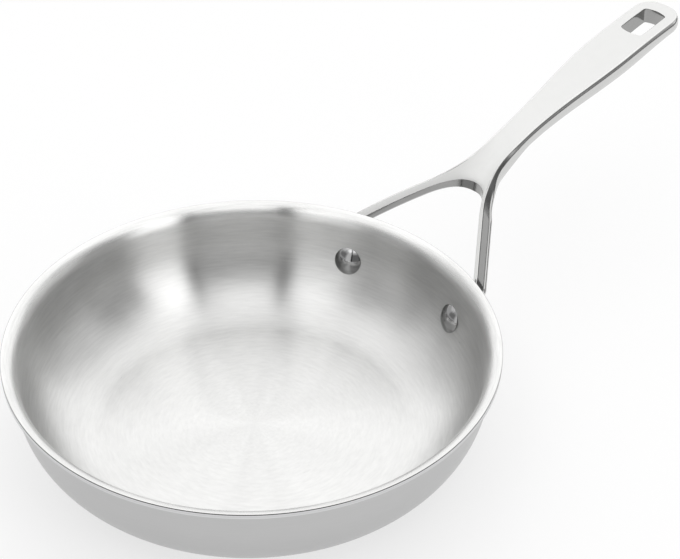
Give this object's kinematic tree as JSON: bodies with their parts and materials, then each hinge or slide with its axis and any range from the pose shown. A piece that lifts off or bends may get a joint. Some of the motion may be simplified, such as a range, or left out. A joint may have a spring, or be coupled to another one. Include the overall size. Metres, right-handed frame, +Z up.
{
  "type": "frying pan",
  "caption": "Clad stainless frying pan with a curved wall, a rolled pouring lip and a long forked cast handle riveted to the wall, with a slot to hang it by.",
  "frame": {"origin": "centre of the flat base that the pan stands on, on the axis of the round pan", "axes": "+X along the handle, from the pan's axis to the handle's tip; +Z up along the pan's axis; the pan is the same on both sides of Y = 0"},
  "size_m": [0.3877, 0.21, 0.0958],
  "materials": {
    "brushed_interior": "stainless steel, brushed in rings",
    "aluminium_core": "bonded between the steel layers, seen only at the cut edge of the lip",
    "core_steel": "bonded between the aluminium layers, seen only at the cut edge of the lip",
    "satin_exterior": "magnetic stainless steel, fine satin",
    "cast_handle": "cast stainless steel, satin ground with polished edges",
    "polished_rivet": "stainless steel, polished"
  },
  "bodies": {
    "root": {"inner_steel_skin": "brushed_interior", "upper_aluminium_layer": "aluminium_core", "middle_steel_layer": "core_steel", "lower_aluminium_layer": "aluminium_core", "outer_steel_skin": "satin_exterior", "forked_handle": "cast_handle", "left_rivet": "polished_rivet", "right_rivet": "polished_rivet"}
  },
  "joints": []
}
